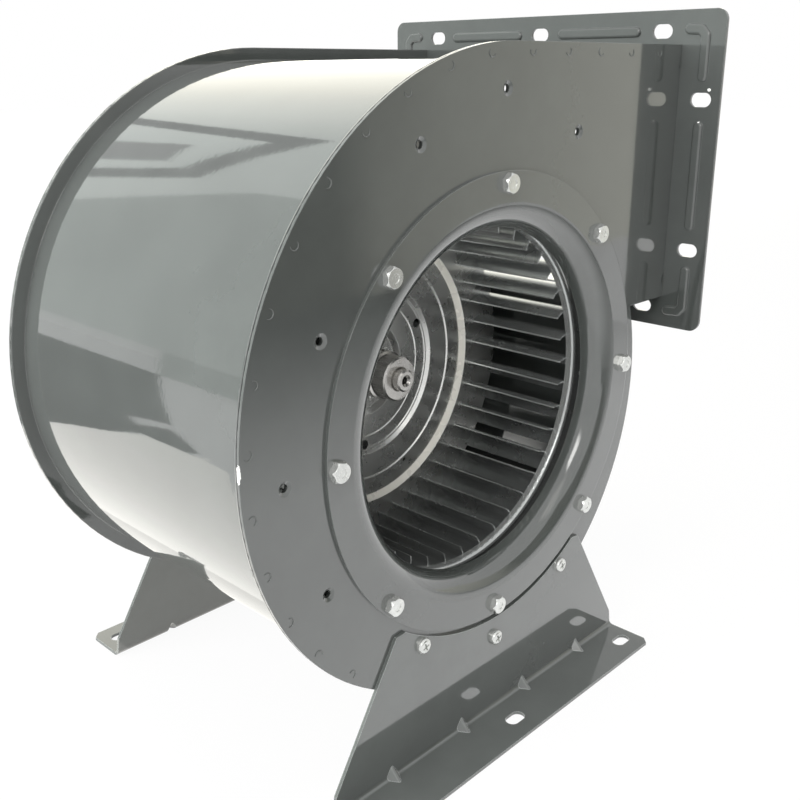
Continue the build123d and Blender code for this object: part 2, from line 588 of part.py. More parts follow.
key_plane = Plane(origin=(0, SET_Y, SHAFT_R + 2.5), z_dir=(0, 0, 1))
set_screw -= extrude(key_plane * RegularPolygon(1.5, 6), amount=6.0)
put("hub_set_screw", set_screw)


def rivet(x, z):
    """A rivet whose round head shows in the dish, closed over behind the hub's flange."""
    body = rod(RIVET_R, STEPS[-1][1], HUB_END, x, z)
    head = rod(RIVET_R + 1.5, STEPS[-1][1] - 1.5, STEPS[-1][1], x, z)
    head = fillet(head.edges().sort_by(Axis.Y)[0], 1.0)
    return body + head + rod(RIVET_R + 1.2, HUB_END, HUB_END + 1.0, x, z)


put("hub_rivets", [rivet(x, z) for x, z in ring_places(RIVETS, RIVET_PCR, 20.0)])

# Shaft: 14 mm at the hub with a flat and a tapped centre hole, stepped up to the rotor
by0, by1 = BEARING_Y
shaft = turned((0, SHAFT_Y0), (SHAFT_R - 1, SHAFT_Y0), (SHAFT_R, SHAFT_Y0 + 1), (SHAFT_R, by0 - 1.5),
               (BEARING_IN, by0 - 1.5), (BEARING_IN, by0 + BEARING_W), (ROTOR_SHAFT_R, by0 + BEARING_W),
               (ROTOR_SHAFT_R, by1),
               (BEARING_IN, by1), (BEARING_IN, by1 + BEARING_W), (0, by1 + BEARING_W))
sink = Plane(origin=(0, SHAFT_Y0 + 0.9, 0), z_dir=(0, 1, 0)) * Cone(3.8, 2.4, 1.8)
shaft = shaft - sink - rod(2.4, SHAFT_Y0 - 1, SHAFT_Y0 + 13)
shaft -= block(-SHAFT_R, SHAFT_R, SET_Y - 10, SET_Y + 10, SHAFT_R - 0.5, SHAFT_R + 2)
put("motor_shaft", shaft)

# Bearings: outer rings in the end bells, inner rings on the shaft, balls between
outer_rings, inner_rings, balls = [], [], []
pitch = (BEARING_IN + BEARING_OUT) / 2
for y in BEARING_Y:
    outer_rings.append(turned((pitch + BALL_R + BALL_CLEAR, y), (BEARING_OUT, y),
                              (BEARING_OUT, y + BEARING_W),
                              (pitch + BALL_R + BALL_CLEAR, y + BEARING_W)))
    inner_rings.append(turned((BEARING_IN, y), (pitch - BALL_R, y), (pitch - BALL_R, y + BEARING_W),
                              (BEARING_IN, y + BEARING_W)))
    for x, z in ring_places(BALLS, pitch, 10.0):
        balls.append(Pos(x, y + BEARING_W / 2, z) * Sphere(BALL_R))
put("bearing_outer_rings", outer_rings)
put("bearing_inner_rings", inner_rings)
put("bearing_balls", balls)

# Motor: drawn steel shell, wound stator, cage rotor, and two cast end bells tied by long bolts
shell = turned((CORE_R, SHELL_Y0), (MOTOR_R, SHELL_Y0), (MOTOR_R, SHELL_Y1), (CORE_R, SHELL_Y1))
put("motor_shell", shell)

slot_in, slot_out, slot_w = STATOR_BORE + 2.5, CORE_R - 12.5, 5.6
coil_slot = block(slot_in, slot_out, CORE_Y0 - 1, CORE_Y1 + 1, -slot_w / 2, slot_w / 2)
ties = ring_places(4, TIE_PCR, 45.0)
core = rod(CORE_R, CORE_Y0, CORE_Y1) - rod(STATOR_BORE, CORE_Y0 - 1, CORE_Y1 + 1)
for s in around(coil_slot, SLOTS):
    core -= s
for x, z in ties:
    core -= rod(TIE_R + 0.4, CORE_Y0 - 1, CORE_Y1 + 1, x, z)
put("stator_core", core)

END_TURN = 9.0
coil = block(slot_in + 0.2, slot_out - 0.2, CORE_Y0 - 1, CORE_Y1 + 1, -slot_w / 2 + 0.2, slot_w / 2 - 0.2)
windings = None
for y0, y1 in ((CORE_Y0 - END_TURN, CORE_Y0 - 0.5), (CORE_Y1 + 0.5, CORE_Y1 + END_TURN)):
    turn_ring = turned((slot_in, y0 + 1.5), (slot_in + 2, y0), (slot_out + 1, y0), (slot_out + 3, y0 + 1.5),
                       (slot_out + 3, y1 - 1.5), (slot_out + 1, y1), (slot_in + 2, y1), (slot_in, y1 - 1.5))
    windings = turn_ring if windings is None else windings + turn_ring
for s in around(coil, SLOTS):
    windings += s
put("stator_windings", windings)

rotor_r = STATOR_BORE - AIR_GAP
rotor = rod(rotor_r, CORE_Y0, CORE_Y1) - rod(ROTOR_SHAFT_R, CORE_Y0 - 1, CORE_Y1 + 1)
put("rotor_core", rotor)
cage_r = rotor_r - 0.8
cage = [turned((26, y0), (cage_r, y0), (cage_r, y0 + 6), (26, y0 + 6)) for y0 in (CORE_Y0 - 6, CORE_Y1)]
put("rotor_end_rings", cage)

# Front end bell: bearing boss, dished web, and a spigot inside the shell
cap, boss = by0 + BEARING_W, FRONT_BOSS_Y
bore, boss_r, knee_r = SHAFT_R + 1.2, BEARING_OUT + 4.5, MOTOR_R - 8.0
front_bell = turned(
    (bore, boss), (boss_r, boss), (boss_r + 2, boss + 6), (knee_r, boss + 7), (MOTOR_R, boss + 12),
    (MOTOR_R, SHELL_Y0), (CORE_R, SHELL_Y0), (CORE_R, SHELL_Y0 + 2.5),
    (CORE_R - 3, SHELL_Y0 + 2.5), (CORE_R - 4, SHELL_Y0 - 3),
    (knee_r - 2, boss + 11), (boss_r + 2, boss + 10), (boss_r, cap), (BEARING_OUT, cap), (BEARING_OUT, by0),
    (13, by0), (13, by0 - 0.6), (bore, by0 - 0.6))
for x, z in ties:
    front_bell -= rod(TIE_R + 0.3, boss, SHELL_Y0 + 5, x, z)
    front_bell -= rod(5.4, boss, boss + 10, x, z)
put("motor_front_bell", front_bell)

# Rear end bell: blind bearing pocket and a flat pad for the terminal box
pocket, pad_y = by1 + BEARING_W, REAR_CAP_Y
rear_bell = turned(
    (0, pocket + 2), (12, pocket + 2), (12, pocket), (BEARING_OUT, pocket), (BEARING_OUT, by1),
    (boss_r - 0.5, by1), (boss_r + 1, pad_y - 4.5), (knee_r - 15, pad_y - 4.5), (knee_r - 2, pad_y - 13.5),
    (CORE_R - 4, SHELL_Y1 + 4),
    (CORE_R - 3, SHELL_Y1 - 2.5), (CORE_R, SHELL_Y1 - 2.5), (CORE_R, SHELL_Y1), (MOTOR_R, SHELL_Y1),
    (MOTOR_R, SHELL_Y1 + 5), (knee_r, pad_y - 9), (knee_r - 12, pad_y), (0, pad_y))
rear_bell -= rod(WIRE_R, SHELL_Y1, pad_y + 1, WIRE_X, 0)
for x, z in BOX_SCREWS:
    rear_bell -= rod(SCREW_M4, SHELL_Y1, pad_y + 1, x, z)
for x, z in ties:
    rear_bell -= rod(TIE_R + 0.3, SHELL_Y1 - 5, pad_y, x, z)
    rear_bell -= rod(5.4, SHELL_Y1 + 8, pad_y, x, z)
put("motor_rear_bell", rear_bell)

tie_bolts, tie_nuts = [], []
for x, z in ties:
    front_seat, rear_seat = boss + 10, SHELL_Y1 + 8
    tie_head = hex_rod(7.0, front_seat - 2.8, front_seat, x, z, 15)
    tie_bolts.append(rod(TIE_R, front_seat, rear_seat + 5.5, x, z) + tie_head)
    tie_nut = hex_rod(7.0, rear_seat, rear_seat + 3.4, x, z, 15)
    tie_nuts.append(tie_nut - rod(TIE_R, rear_seat - 1, rear_seat + 6, x, z))
put("motor_tie_bolts", tie_bolts)
put("motor_tie_nuts", tie_nuts)

# Cradle: a split band round the shell, welded to four arms that go out to the ring's bolts
arm_y0 = REAR + RING_T
band_y1 = BAND_Y0 + BAND_W
band_r = MOTOR_R + BAND_T
cradle = turned((MOTOR_R, BAND_Y0), (band_r, BAND_Y0), (band_r, band_y1), (MOTOR_R, band_y1))
arm_plane = Plane(origin=(0, arm_y0, 0), x_dir=(1, 0, 0), z_dir=(0, 1, 0))
arm_len = ARM_END_R - MOTOR_R
arm_face = arm_plane * Pos((MOTOR_R + ARM_END_R) / 2, 0) * RectangleRounded(arm_len, ARM_W, 4.0)
arm = extrude(arm_face, amount=ARM_T) - rod(MOTOR_R, arm_y0 - 1, arm_y0 + 5)
arm -= rod(M6_R + BOLT_CLEAR, arm_y0 - 1, arm_y0 + 5, RING_PCR, 0)
stay = Plane(origin=(0, 0, -1.5), z_dir=(0, 0, 1)) * make_face(Polyline(
    (MOTOR_R + 1, arm_y0), (MOTOR_R + 1, BAND_Y0 + 2), (MOTOR_R + BAND_T, BAND_Y0 + 2),
    (MOTOR_R + BAND_T + STAY, arm_y0), close=True))
arm += extrude(stay, amount=3.0) & block(MOTOR_R + 0.5, ARM_END_R, BAND_Y0, arm_y0 + 1, -5, 5)
for a in around(arm, 4, 45.0):
    cradle += a
for sx in (-1, 1):
    x0, x1 = sorted((sx * EAR_GAP / 2, sx * (EAR_GAP / 2 + 3.0)))
    cradle += block(x0, x1, BAND_Y0, band_y1, MOTOR_R + 0.6, MOTOR_R + EAR_H)
cradle -= block(-EAR_GAP / 2, EAR_GAP / 2, BAND_Y0 - 1, band_y1 + 1, MOTOR_R - 3, MOTOR_R + EAR_H + 5)
clamp_y, clamp_z = BAND_Y0 + BAND_W / 2, MOTOR_R + 11.0
along_x = Plane(origin=(-20, clamp_y, clamp_z), z_dir=(1, 0, 0))
cradle -= extrude(along_x * Circle(M6_R + BOLT_CLEAR), amount=40)
put("motor_cradle", cradle)


def across(across_flats, x0, x1):
    plane = Plane(origin=(x0, clamp_y, clamp_z), z_dir=(1, 0, 0))
    return extrude(plane * RegularPolygon(across_flats / 2, 6, major_radius=False), amount=x1 - x0)


ear_x = EAR_GAP / 2 + 3.0
shank_plane = Plane(origin=(-ear_x, clamp_y, clamp_z), z_dir=(1, 0, 0))
clamp_shank = extrude(shank_plane * Circle(M6_R), amount=2 * ear_x + 8)
put("cradle_clamp_bolt", across(M6_AF, -ear_x - M6_HEAD, -ear_x) + clamp_shank)
nut = across(M6_AF, ear_x, ear_x + NUT_H)
nut -= extrude(Plane(origin=(0, clamp_y, clamp_z), z_dir=(1, 0, 0)) * Circle(M6_R), amount=30)
put("cradle_clamp_nut", nut)

# Terminal box: open box with bosses, a screwed lid, a terminal block and a cable gland
bx, bz = BOX_X / 2, BOX_Z / 2
by = REAR_CAP_Y
shell_box = block(-bx, bx, by, by + BOX_Y, -bz, bz)
shell_box = fillet(shell_box.edges().filter_by(Axis.Y), 5.0)
hollow = block(-bx + BOX_T, bx - BOX_T, by + BOX_T, by + BOX_Y + 1, -bz + BOX_T, bz - BOX_T)
shell_box -= fillet(hollow.edges().filter_by(Axis.Y), 3.0)
LID_SCREW = (bx - 5.2, bz - 5.2)
lid_places = [(sx * LID_SCREW[0], sz * LID_SCREW[1]) for sx in (-1, 1) for sz in (-1, 1)]
for x, z in lid_places:
    shell_box += rod(4.0, by + 0.5, by + BOX_Y, x, z) & block(-bx, bx, by, by + BOX_Y, -bz, bz)
for x, z in lid_places:
    shell_box -= rod(1.6, by + 8, by + BOX_Y + 1, x, z)
shell_box -= rod(WIRE_R, by - 1, by + BOX_T + 1, WIRE_X, 0)
for x, z in BOX_SCREWS:
    shell_box -= rod(SCREW_M4 + 0.2, by - 1, by + BOX_T + 1, x, z)
gland_y = by + BOX_Y / 2 + 1
down = Plane(origin=(0, gland_y, -bz - 1), z_dir=(0, 0, 1))
shell_box -= extrude(down * Circle(GLAND_R), amount=BOX_T + 2)
put("terminal_box", shell_box)

lid = block(-bx, bx, by + BOX_Y, by + BOX_Y + LID_T, -bz, bz)
lid = fillet(lid.edges().filter_by(Axis.Y), 5.0)
lid = fillet(lid.faces().sort_by(Axis.Y)[-1].edges(), 1.2)
for x, z in lid_places:
    lid -= rod(1.9, by + BOX_Y - 1, by + BOX_Y + 5, x, z)
put("terminal_box_lid", lid)


def small_screw(x, z, seat, length, radius=1.6, head=3.2):
    """A small pan head screw with its head toward +Y."""
    cap_plane = Plane(origin=(x, seat, z), x_dir=(1, 0, 0), z_dir=(0, 1, 0))
    head_part = extrude(cap_plane * Circle(head), amount=LID_HEAD)
    head_part = fillet(head_part.edges().sort_by(Axis.Y)[-1], 0.9)
    top = Plane(origin=(x, seat + LID_HEAD, z), x_dir=(1, 0, 0.4), z_dir=(0, -1, 0))
    cross = extrude(top * (Rectangle(3.4, 0.8) + Rectangle(0.8, 3.4)), amount=1.0)
    return head_part - cross + rod(radius, seat - length, seat, x, z)


put("terminal_box_screws", [small_screw(x, z, by + BOX_T, 6.5, SCREW_M4, 3.8) for x, z in BOX_SCREWS])
put("terminal_lid_screws", [small_screw(x, z, by + BOX_Y + LID_T, 14.0) for x, z in lid_places])

strip_y = by + BOX_T
terminal = block(-20, 20, strip_y, strip_y + 12, 0, 14)
for x in (-13.5, 0.0, 13.5):
    terminal -= block(x - 4.6, x + 4.6, strip_y + 7, strip_y + 13, -1, 15)
    terminal -= rod(1.7, strip_y + 2, strip_y + 8, x, 7)
put("terminal_block", terminal)
block_screws = [small_screw(x, 7, strip_y + 7, 4.0, radius=1.7, head=3.0) for x in (-13.5, 0.0, 13.5)]
put("terminal_block_screws", block_screws)


def upward(radius, z0, z1):
    return extrude(Plane(origin=(0, gland_y, z0), z_dir=(0, 0, 1)) * Circle(radius), amount=z1 - z0)


gland_hex = Plane(origin=(0, gland_y, -bz - 5), z_dir=(0, 0, 1)) * RegularPolygon(11, 6, major_radius=False)
gland = extrude(gland_hex, amount=5) + upward(GLAND_R, -bz, -bz + 5) + upward(9.0, -bz - 9, -bz - 5)
gland -= upward(5.0, -bz - 10, -bz + 6)
put("gland_body", gland)
cap_plane = Plane(origin=(0, gland_y, -bz - 18), z_dir=(0, 0, 1))
cap_hex = cap_plane * RegularPolygon(10.4, 6, major_radius=False)
gland_cap = extrude(cap_hex, amount=13) - upward(9.0, -bz - 9, -bz - 4) - upward(5.6, -bz - 19, -bz - 8)
put("gland_cap", gland_cap)
lock_plane = Plane(origin=(0, gland_y, -bz + BOX_T), z_dir=(0, 0, 1))
lock_hex = lock_plane * RegularPolygon(10.5, 6, major_radius=False)
put("gland_lock_nut", extrude(lock_hex, amount=2.5) - upward(GLAND_R, -bz, -bz + 6))
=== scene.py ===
import json
import math

import bpy
from mathutils import Matrix, Vector


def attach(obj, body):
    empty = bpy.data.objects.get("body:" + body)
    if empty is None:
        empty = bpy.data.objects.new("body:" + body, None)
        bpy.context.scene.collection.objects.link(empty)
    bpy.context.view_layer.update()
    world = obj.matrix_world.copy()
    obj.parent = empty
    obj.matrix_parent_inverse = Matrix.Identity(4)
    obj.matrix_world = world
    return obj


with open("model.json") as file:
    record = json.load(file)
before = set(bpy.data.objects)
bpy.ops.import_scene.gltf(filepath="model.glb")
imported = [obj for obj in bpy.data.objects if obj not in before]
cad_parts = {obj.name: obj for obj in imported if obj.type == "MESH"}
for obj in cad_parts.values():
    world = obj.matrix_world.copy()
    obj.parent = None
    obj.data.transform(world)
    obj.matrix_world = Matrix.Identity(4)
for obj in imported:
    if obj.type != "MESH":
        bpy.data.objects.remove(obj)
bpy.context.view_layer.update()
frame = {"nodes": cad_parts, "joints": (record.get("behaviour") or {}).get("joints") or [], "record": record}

# The joint's point lies on the fan's axis, half way between the two plates
MM = 0.001
MID_Y = 111.5
AXIS = Vector(frame["joints"][0]["pos_m"])
ORIGIN = AXIS - Vector((0.0, MID_Y, 0.0)) * MM


def at(x, y, z):
    """A place given in millimetres from the centre of the front inlet face."""
    return ORIGIN + Vector((x, y, z)) * MM


# Shader graphs


class Graph:
    """A node tree that is filled in code; sockets are named by their labels or by number."""

    def __init__(self, owner):
        owner.use_nodes = True
        self.tree = owner.node_tree
        self.tree.nodes.clear()

    def add(self, kind, props=None, **sockets):
        node = self.tree.nodes.new("ShaderNode" + kind)
        for key, value in (props or {}).items():
            setattr(node, key, value)
        for key, value in sockets.items():
            if key[0] == "i" and key[1:].isdigit():
                socket = node.inputs[int(key[1:])]
            else:
                socket = node.inputs[key.replace("_", " ")]
            if isinstance(value, bpy.types.NodeSocket):
                self.tree.links.new(value, socket)
            else:
                socket.default_value = value
        return node

    def math(self, operation, a, b=0.0):
        return self.add("Math", {"operation": operation}, i0=a, i1=b).outputs[0]

    def mix(self, factor, a, b):
        """Colour a where the factor is 0 and b where it is 1."""
        node = self.add("Mix", {"data_type": "RGBA"}, i0=factor, i6=a, i7=b)
        return node.outputs[2]

    def spread(self, value, low, high, to_low=0.0, to_high=1.0):
        """A smooth step from to_low to to_high as the value goes from low to high."""
        node = self.add("MapRange", {"interpolation_type": "SMOOTHSTEP"}, i0=value, i1=low, i2=high,
                        i3=to_low, i4=to_high)
        return node.outputs[0]

    def relink(self, value, shader, name):
        """Feeds a value into a socket of the shader in place of what fed it before."""
        self.tree.links.new(value, shader.inputs[name])

    def cover(self, shader, share, colour):
        """Lays a colour over the shader's own one where the share is 1."""
        own = shader.inputs["Base Color"].links[0].from_socket
        self.relink(self.mix(share, own, colour), shader, "Base Color")

    def place(self, scale=(1.0, 1.0, 1.0)):
        coordinates = self.add("TexCoord").outputs["Object"]
        return self.add("Mapping", Vector=coordinates, Scale=scale).outputs[0]

    def noise(self, scale, detail=2.0, roughness=0.5, vector=None):
        vector = vector or self.place()
        return self.add("TexNoise", Vector=vector, Scale=scale, Detail=detail, Roughness=roughness).outputs[0]

    def bump(self, height, distance, normal):
        return self.add("Bump", Height=height, Distance=distance, Normal=normal).outputs[0]


def grey(value):
    return (value, value, value, 1.0)


def rgb(r, g, b, factor=1.0):
    return (r * factor, g * factor, b * factor, 1.0)


def finish(name, colour, shade=(0.88, 1.1), patch=28.0, metallic=0.0, rough=(0.3, 0.4), rough_patch=45.0,
           bumps=((900.0, 0.02),), edge=0.3, painted_edge_highlight=1.0, coat=None, grain=(1.0, 1.0, 1.0), extra=None):
    """A surface with patches of lighter and darker colour, uneven gloss, layered bumps, softened edges and a
    highlight painted along the edges.

    shade is the colour's factor in the dark and the light patches; patch, rough_patch and a bump's first
    number are noise scales, its second is a height in mm; edge is the softening's radius in mm, and the
    colour is lightened there by the edge highlight's factor, a painted highlight; coat is an IOR and a
    roughness; grain stretches the noise; extra(graph, shader) adds what only this surface has."""
    material = bpy.data.materials.new(name)
    g = Graph(material)
    where = g.place(grain)
    tone = g.spread(g.noise(patch, 4.0, 0.6, where), 0.3, 0.7)
    base = g.mix(tone, rgb(*colour, shade[0]), rgb(*colour, shade[1]))
    gloss = g.spread(g.noise(rough_patch, 3.0, 0.6, where), 0.3, 0.72, rough[0], rough[1])
    round_edge = g.add("Bevel", {"samples": 4}, Radius=edge * MM).outputs[0]
    flat = g.add("NewGeometry").outputs["Normal"]
    same = g.add("VectorMath", {"operation": "DOT_PRODUCT"}, i0=round_edge, i1=flat).outputs["Value"]
    # Painted highlight: the colour is made lighter along the edges, by the factor given for them
    edge_highlight_share = g.spread(same, 0.995, 0.9)
    base = g.mix(edge_highlight_share, base, rgb(*colour, painted_edge_highlight))
    normal = round_edge
    for scale, height in bumps:
        normal = g.bump(g.noise(scale, 2.0, 0.5, where), height * MM, normal)
    sockets = {"Base Color": base, "Metallic": metallic, "Roughness": gloss, "IOR": 1.5, "Normal": normal}
    if coat:
        coat_ior, coat_rough = coat
        sockets.update({"Coat Weight": 1.0, "Coat IOR": coat_ior, "Coat Roughness": coat_rough,
                        "Coat Normal": normal})
    shader = g.add("BsdfPrincipled", **sockets)
    g.add("OutputMaterial", Surface=shader.outputs[0])
    if extra:
        extra(g, shader)
    return material


def specks(g, shader):
    """Dust caught under the paint: small bumps, sparse and of uneven size."""
    old = shader.inputs["Normal"].links[0].from_socket
    cell = g.add("TexVoronoi", Vector=g.place(), Scale=95.0).outputs
    size = g.spread(g.noise(37.0, 2.0), 0.52, 0.72, 0.0, 0.075)
    dome = g.math("MAXIMUM", g.math("SUBTRACT", size, cell["Distance"]), 0.0)
    normal = g.bump(dome, 1.1 * MM, old)
    for name in ("Normal", "Coat Normal"):
        g.relink(normal, shader, name)


def shade_painted_in_seam(g, shader):
    """Specks, and painted shade in the seam: the edge of the wrap's lip, where it lies behind the front
    plate, is coloured near black for the seam's shadow, and its coat is thinned there.
    """
    specks(g, shader)
    depth = g.add("SeparateXYZ", Vector=g.add("TexCoord").outputs["Object"]).outputs[1]
    # Painted shade: the lip's edge, within about 4 mm of the front, is coloured near black
    seam = g.spread(depth, at(0, 4.15, 0).y, at(0, 4.0, 0).y)
    g.cover(shader, seam, grey(0.01))
    g.relink(g.spread(seam, 0.0, 1.0, 1.0, 0.1), shader, "Coat Weight")


def chips_and_glints(spots):
    """Specks, and pale spots: chips in the paint, and on the flange a painted highlight at a bead's end.
    A spot is its centre and its reach along x, y and z in mm.
    """

    def extra(g, shader):
        specks(g, shader)
        where = g.add("TexCoord").outputs["Object"]
        ragged = g.spread(g.noise(900.0, 2.0), 0.2, 0.8, -0.25, 0.25)
        pale_spot = 0.0
        for centre, size in spots:
            off = g.add("VectorMath", {"operation": "SUBTRACT"}, i0=where, i1=tuple(at(*centre))).outputs[0]
            off = g.add("VectorMath", {"operation": "DIVIDE"}, i0=off, i1=tuple(v * MM for v in size)).outputs[0]
            reach = g.add("VectorMath", {"operation": "LENGTH"}, i0=off).outputs["Value"]
            pale_spot = g.math("MAXIMUM", pale_spot, g.spread(g.math("ADD", reach, ragged), 1.05, 0.9))
        # Pale where the paint is chipped, and pale as a painted highlight at the flange's bead end
        g.cover(shader, pale_spot, rgb(0.93, 0.93, 0.91))
        g.relink(g.math("SUBTRACT", 1.0, pale_spot), shader, "Coat Weight")

    return extra


def painted_band_reflection(g, shader):
    """A pale band painted on the sloping wall round the disc's face: a painted reflection of the light that comes
    in through the inlet, with the wall made much less metallic there.
    """
    parts = g.add("SeparateXYZ", Vector=off_axis(g)).outputs
    reach = g.math("SQRT", g.math("ADD", g.math("MULTIPLY", parts[0], parts[0]),
                                  g.math("MULTIPLY", parts[2], parts[2])))
    # Painted reflection: the share of the pale band, between about 84.5 and 88 mm from the axis
    pale = g.math("MULTIPLY", g.spread(reach, 84.2 * MM, 84.8 * MM), g.spread(reach, 88.3 * MM, 87.7 * MM))
    g.cover(shader, pale, rgb(0.92, 0.9, 0.82))
    g.relink(g.spread(pale, 0.0, 1.0, 0.9, 0.1), shader, "Metallic")


def off_axis(g):
    """The place on a piece of the wheel, measured from the joint's point on the axis."""
    where = g.add("TexCoord").outputs["Object"]
    return g.add("VectorMath", {"operation": "SUBTRACT"}, i0=where, i1=HUB_CENTRE).outputs[0]


def lathe_lines(g, shader):
    """Fine turning marks in rings round the axis."""
    old = shader.inputs["Normal"].links[0].from_socket
    wave = g.add("TexWave", {"wave_type": "RINGS", "rings_direction": "Y"}, Vector=off_axis(g), Scale=420.0,
                 Distortion=0.6, Detail=1.0).outputs[0]
    g.relink(g.bump(wave, 0.006 * MM, old), shader, "Normal")


# In the wheel's own coordinates the axis runs through this point
HUB_CENTRE = tuple(frame["nodes"]["wheel_centre_disc"].matrix_world.inverted() @ AXIS)

# Pale spots as the function above takes them: chips in the paint, but the flange's second spot is a painted
# highlight at the end of a bead
PLATE_CHIPS = [((-181.3, 2.1, 15.0), (1.54, 3.3, 4.65)), ((173.4, 1.6, 183.3), (1.3, 1.3, 1.9)),
               ((173.2, 1.6, 47.8), (1.3, 1.3, 1.6))]
FLANGE_CHIP_AND_HIGHLIGHT = [((173.0, -18.6, 168.6), (1.6, 1.3, 0.9)), ((171.5, -13.9, 149.6), (1.5, 0.8, 0.7))]

# One look for each material slot, and some for single nodes
PAINT = (0.0625, 0.0685, 0.065)
# Each look's edge factor lightens its colour along the edges: a painted highlight
LOOKS = {
    # The casing's wrap has painted shade in its seam with the front plate
    "casing_paint": dict(
        colour=PAINT, shade=(0.93, 1.07), patch=22.0, rough=(0.05, 0.09), bumps=((430.0, 0.011), (45.0, 0.008)),
        edge=1.1, painted_edge_highlight=1.0, coat=(1.75, 0.03), extra=shade_painted_in_seam),
    "plate_paint": dict(
        colour=PAINT, shade=(0.93, 1.08), patch=16.0, rough=(0.08, 0.16), bumps=((430.0, 0.009), (30.0, 0.02)),
        edge=0.45, painted_edge_highlight=1.9, coat=(1.7, 0.05), extra=chips_and_glints(PLATE_CHIPS)),
    # The casing paint made 1.3 times lighter for the feet, so that they read as lit: painted light
    "foot_paint_painted_lighter": dict(
        colour=tuple(1.3 * c for c in PAINT), shade=(0.93, 1.06), patch=26.0, rough=(0.07, 0.12),
        bumps=((430.0, 0.007), (50.0, 0.012)), edge=0.6, painted_edge_highlight=3.6, coat=(1.65, 0.03), extra=specks),
    # The casing paint made darker for the outlet flange: painted shade
    "flange_paint_painted_darker": dict(
        colour=tuple(0.88 * c for c in PAINT), shade=(0.93, 1.06), patch=26.0, rough=(0.07, 0.11),
        bumps=((430.0, 0.007), (50.0, 0.01)), edge=0.7, painted_edge_highlight=1.5, coat=(1.6, 0.03),
        extra=chips_and_glints(FLANGE_CHIP_AND_HIGHLIGHT)),
    "ring_paint": dict(
        colour=PAINT, shade=(0.93, 1.08), patch=20.0, rough=(0.07, 0.13), bumps=((430.0, 0.008), (40.0, 0.02)),
        edge=0.5, painted_edge_highlight=2.2, coat=(1.75, 0.04), extra=specks),
    "zinc_fasteners": dict(
        colour=(0.68, 0.69, 0.67), shade=(0.92, 1.06), patch=110.0, metallic=0.85, rough=(0.2, 0.28),
        rough_patch=300.0, bumps=((1500.0, 0.003),), edge=0.12, painted_edge_highlight=1.5),
    "galvanised_wheel": dict(
        colour=(0.44, 0.455, 0.45), shade=(0.97, 1.03), patch=12.0, metallic=0.74, rough=(0.22, 0.28),
        rough_patch=40.0, bumps=((700.0, 0.002),), edge=0.3, painted_edge_highlight=2.0),
    # The wheel's galvanised steel made lighter and more metallic for the centre disc, so that it and the blades
    # that mirror it read as lit: painted light; its extra paints the pale band as a reflection
    "disc_zinc_painted_lighter": dict(
        colour=(0.7, 0.705, 0.685), shade=(0.95, 1.04), patch=14.0, metallic=0.9, rough=(0.24, 0.32),
        rough_patch=50.0, bumps=((700.0, 0.003), (60.0, 0.01)), edge=0.35, painted_edge_highlight=1.1, extra=painted_band_reflection),
    "turned_steel": dict(
        colour=(0.5, 0.49, 0.47), shade=(0.95, 1.05), patch=60.0, metallic=0.95, rough=(0.2, 0.28),
        rough_patch=200.0, bumps=((900.0, 0.003),), edge=0.3, painted_edge_highlight=1.3, extra=lathe_lines),
    "bearing_steel": dict(
        colour=(0.7, 0.7, 0.7), shade=(0.9, 1.05), patch=90.0, metallic=1.0, rough=(0.06, 0.14),
        rough_patch=150.0, bumps=((900.0, 0.002),), edge=0.1, painted_edge_highlight=1.1),
    "motor_paint": dict(
        colour=(0.02, 0.02, 0.022), shade=(0.85, 1.25), patch=50.0, rough=(0.3, 0.45), bumps=((700.0, 0.03),),
        painted_edge_highlight=1.6),
    "cast_aluminium": dict(
        colour=(0.5, 0.51, 0.52), shade=(0.85, 1.1), patch=70.0, metallic=1.0, rough=(0.38, 0.55),
        rough_patch=150.0, bumps=((1400.0, 0.03), (120.0, 0.03)), edge=0.3, painted_edge_highlight=1.25),
    "lamination_steel": dict(
        colour=(0.3, 0.3, 0.31), shade=(0.7, 1.1), patch=90.0, metallic=1.0, rough=(0.4, 0.55),
        rough_patch=200.0, bumps=((1500.0, 0.05),), edge=0.1, painted_edge_highlight=1.1, grain=(0.15, 1.0, 0.15)),
    "winding_copper": dict(
        colour=(0.48, 0.2, 0.08), shade=(0.75, 1.15), patch=90.0, metallic=0.6, rough=(0.25, 0.4),
        rough_patch=150.0, bumps=((700.0, 0.2),), edge=0.3, painted_edge_highlight=1.1, grain=(1.0, 0.3, 1.0)),
    "box_plastic": dict(
        colour=(0.03, 0.03, 0.032), shade=(0.9, 1.15), patch=60.0, rough=(0.4, 0.55), bumps=((1100.0, 0.03),),
        painted_edge_highlight=1.4),
    "block_plastic": dict(
        colour=(0.62, 0.6, 0.54), shade=(0.93, 1.05), patch=60.0, rough=(0.35, 0.45), bumps=((900.0, 0.01),),
        painted_edge_highlight=1.05),
    "gland_plastic": dict(
        colour=(0.02, 0.02, 0.02), shade=(0.9, 1.2), patch=60.0, rough=(0.35, 0.5), bumps=((900.0, 0.02),),
        painted_edge_highlight=1.5),
    "zinc_cradle": dict(
        colour=(0.025, 0.025, 0.026), shade=(0.85, 1.2), patch=50.0, rough=(0.25, 0.4), bumps=((700.0, 0.03),),
        painted_edge_highlight=1.6),
}
MATERIALS = {name: finish(name, **look) for name, look in LOOKS.items()}

